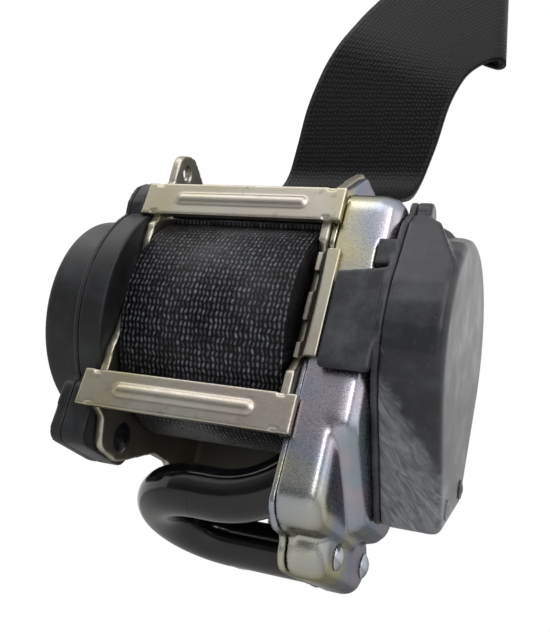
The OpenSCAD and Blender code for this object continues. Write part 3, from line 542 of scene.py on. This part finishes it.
# Plastic mouldings
# Glass-filled nylon for the covers, acetal for the sliding pieces. Moulded against an eroded tool, so the
# surface is matt with a fine grain, and handling leaves pale scuffs.
spark_grain = 0.45 * MM
cloud_patch = 11 * MM

# The scrapes on the right cover lie below a slanted line, which wavers, and run across the cover as drawn lines
scrape_lean = 1.2
scrape_top, scrape_full = 97 * MM, 90 * MM
scrape_waver, waver_patch = 16 * MM, 9 * MM
scrape_axis, scrape_turn = (0, 0.68, 0.73), 0.6
scrape_scale = (0.8 / MM, 0.2 / MM, 0.2 / MM)
# Past these widths the outer end face of the cover is painted paler: painted light on the face turned to the right
end_light_from, end_light_to = 61.6 * MM, 63 * MM


def moulded(name, base, scuffed, matt, scuff, scrape_and_end_light=0.0):
    """Moulded plastic with worn clouds; its last argument sets how pale its scraped lower end is, and the painted
    light on its outer end face.
    """
    made, tree, shader = surface(name)
    place = tree.nodes.new("ShaderNodeTexCoord").outputs["Object"]
    grain = add(tree, "ShaderNodeTexNoise", {"Vector": place, "Scale": 1 / spark_grain, "Detail": 3})
    cloud = add(tree, "ShaderNodeTexNoise", {
        "Vector": place, "Scale": 1 / cloud_patch, "Detail": 6, "Roughness": 0.65,
    })
    wear = add(tree, "ShaderNodeMapRange", {"Value": cloud, 1: 0.46, 2: 0.8, 3: 0.0, 4: scuff})
    if scrape_and_end_light:
        sides = tree.nodes.new("ShaderNodeSeparateXYZ")
        tree.links.new(place, sides.inputs[0])
        across, up = sides.outputs[0], sides.outputs[2]
        swirl = add(tree, "ShaderNodeTexNoise", {
            "Vector": place, "Scale": 1 / waver_patch, "Detail": 5, "Distortion": 1.2,
        })
        slanted = add(tree, "ShaderNodeMath", {0: across, 1: scrape_lean, 2: up}, operation="MULTIPLY_ADD")
        uneven = add(tree, "ShaderNodeMath", {0: swirl, 1: scrape_waver, 2: slanted}, operation="MULTIPLY_ADD")
        low = add(tree, "ShaderNodeMapRange", {"Value": uneven, 1: scrape_top, 2: scrape_full, 3: 0.0, 4: scrape_and_end_light})
        turned = add(tree, "ShaderNodeVectorRotate", {"Vector": place, "Axis": scrape_axis, "Angle": scrape_turn})
        drawn = add(tree, "ShaderNodeMapping", {"Vector": turned, "Scale": scrape_scale})
        lines = add(tree, "ShaderNodeTexNoise", {"Vector": drawn, "Scale": 1, "Detail": 5, "Distortion": 0.9})
        scraped = add(tree, "ShaderNodeMapRange", {"Value": lines, 1: 0.35, 2: 0.68, 3: 0.4, 4: 1.15})
        low = add(tree, "ShaderNodeMath", {0: low, 1: scraped}, operation="MULTIPLY")
        scratch = add(tree, "ShaderNodeMapRange", {"Value": lines, 1: 0.66, 2: 0.8, 3: 0.0, 4: scrape_and_end_light / 2})
        # Painted light: the outer end face is painted paler than the rest
        painted_end_light = add(tree, "ShaderNodeMapRange", {"Value": across, 1: end_light_from, 2: end_light_to, 3: 0.0, 4: scrape_and_end_light / 8})
        for more in (low, scratch, painted_end_light):
            wear = add(tree, "ShaderNodeMath", {0: wear, 1: more}, operation="ADD", use_clamp=True)
    add(tree, "ShaderNodeMix", {0: wear, 6: linear(base), 7: linear(scuffed)}, data_type="RGBA")
    tree.links.new(tree.nodes[-1].outputs[2], shader.inputs["Base Color"])
    gloss = add(tree, "ShaderNodeMapRange", {"Value": cloud, 1: 0.3, 2: 0.7, 3: matt - 0.08, 4: matt + 0.08})
    tree.links.new(gloss, shader.inputs["Roughness"])
    relief = add(tree, "ShaderNodeBump", {"Strength": 0.3, "Distance": 0.06 * MM, "Height": grain})
    tree.links.new(relief, shader.inputs["Normal"])
    shader.inputs["Specular IOR Level"].default_value = 0.35
    return made


black_nylon = moulded("black_nylon", "#161719", "#3c3e42", matt=0.5, scuff=0.6)
# The right cover's finish holds real scrapes and the painted light on its end face
scuffed_and_lit_nylon = moulded("scuffed_and_lit_nylon", "#26272a", "#8e9095", matt=0.4, scuff=0.15, scrape_and_end_light=0.65)
worn_nylon = moulded("worn_nylon", "#26272a", "#6d6f73", matt=0.42, scuff=0.4)
gloss_nylon = moulded("gloss_nylon", "#151618", "#44464a", matt=0.24, scuff=0.3)
acetal = moulded("natural_acetal", "#d4d3cc", "#b9b7ae", matt=0.4, scuff=0.5)
grey_nylon = moulded("grey_nylon", "#4b4d51", "#6a6c70", matt=0.5, scuff=0.4)
for name, finish in (("sensor_housing", black_nylon), ("sensor_rivet", gloss_nylon), ("mechanism_pins", black_nylon),
                     ("spring_pins", scuffed_and_lit_nylon), ("drive_piston", acetal), ("steering_disc", acetal),
                     ("sensor_lever", acetal), ("right_bush", acetal), ("left_bush", acetal),
                     ("spring_arbor", acetal), ("spool", grey_nylon)):
    frame["nodes"][name].data.materials.clear()
    frame["nodes"][name].data.materials.append(finish)
for name, finish, voxel in (("mechanism_base", black_nylon, 0.45), ("mechanism_cover", black_nylon, 0.55),
                            ("spring_base", worn_nylon, 0.5), ("spring_cover", scuffed_and_lit_nylon, 0.5)):
    piece = softened(name, voxel * MM, passes=6)
    piece.data.materials.append(finish)

# Table and light
# A pale round floor well below the part, and soft light from in front, above, the right and behind. The room is
# white where the camera or a reflection sees it, and dimmer as a light.
floor_z = -0.32
floor_r = 2.5
floor_steps = 160
rim = [2 * math.pi * k / floor_steps for k in range(floor_steps)]
floor_mesh = bpy.data.meshes.new("floor")
floor_mesh.from_pydata(
    [(floor_r * math.cos(a), floor_r * math.sin(a), floor_z) for a in rim], [], [range(floor_steps)],
)
floor = fresh("floor", floor_mesh)
pale, _, pale_shader = surface("pale_floor")
pale_shader.inputs["Base Color"].default_value = linear("#f2f2f0")
pale_shader.inputs["Roughness"].default_value = 0.9
floor_mesh.materials.append(pale)

world = bpy.data.worlds.new("studio")
bpy.context.scene.world = world
world.use_nodes = True
sky = world.node_tree
sky.nodes.clear()
rays = sky.nodes.new("ShaderNodeLightPath").outputs
shown = add(sky, "ShaderNodeMath", {0: rays["Is Camera Ray"], 1: rays["Is Glossy Ray"]}, operation="MAXIMUM")
shown = add(sky, "ShaderNodeMath", {0: shown, 1: rays["Is Transmission Ray"]}, operation="MAXIMUM")
room = add(sky, "ShaderNodeBackground", {"Color": linear("#ffffff"), "Strength": 0.45})
white = add(sky, "ShaderNodeBackground", {"Color": linear("#ffffff"), "Strength": 1.0})
mixed = add(sky, "ShaderNodeMixShader", {0: shown, 1: room, 2: white})
sky.links.new(mixed, sky.nodes.new("ShaderNodeOutputWorld").inputs["Surface"])


def soft_box(name, at, width, height, power):
    """A flat lamp that faces the middle of the part."""
    lamp = bpy.data.lights.new(name, "AREA")
    lamp.shape = "RECTANGLE"
    lamp.size = width
    lamp.size_y = height
    lamp.energy = power
    made = bpy.data.objects.new(name, lamp)
    middle = (cad_box[0] + cad_box[1]) / 2
    made.location = at
    made.rotation_euler = (Vector(at) - middle).to_track_quat("Z", "Y").to_euler()
    bpy.context.scene.collection.objects.link(made)


soft_box("key", at=(-0.4, -0.55, 0.95), width=1.4, height=0.5, power=4.2)
soft_box("fill", at=(0.85, -0.22, 0.42), width=0.25, height=0.7, power=0.5)
soft_box("strip", at=(0.46, -0.8, 0.42), width=0.34, height=0.9, power=3.9)
soft_box("rear", at=(0.2, 0.8, 0.7), width=0.7, height=0.7, power=0.8)

# A grey card before the part, paler towards its top, as the darker side of a room: only reflections see it
card_mesh = bpy.data.meshes.new("dark_card")
card_half, card_y, card_foot, card_top = 1.6, -1.0, -1.3, 0.62
card_mesh.from_pydata([
    (-card_half, card_y, card_foot), (card_half, card_y, card_foot),
    (card_half, card_y, card_top), (-card_half, card_y, card_top),
], [], [(0, 1, 2, 3)])
card = fresh("dark_card", card_mesh)
dim, dim_tree, dim_shader = surface("dark_card")
dim_place = dim_tree.nodes.new("ShaderNodeSeparateXYZ")
dim_tree.links.new(dim_tree.nodes.new("ShaderNodeTexCoord").outputs["Object"], dim_place.inputs[0])
dim_rise = add(dim_tree, "ShaderNodeMapRange", {"Value": dim_place.outputs[2], 1: 0.0, 2: card_top})
add(dim_tree, "ShaderNodeMix", {0: dim_rise, 6: linear("#868688"), 7: linear("#f4f4f6")}, data_type="RGBA")
dim_tree.links.new(dim_tree.nodes[-1].outputs[2], dim_shader.inputs["Base Color"])
dim_shader.inputs["Roughness"].default_value = 1
card_mesh.materials.append(dim)
card.visible_camera = False
card.visible_diffuse = False
card.visible_shadow = False

bpy.context.scene.view_settings.view_transform = "Standard"
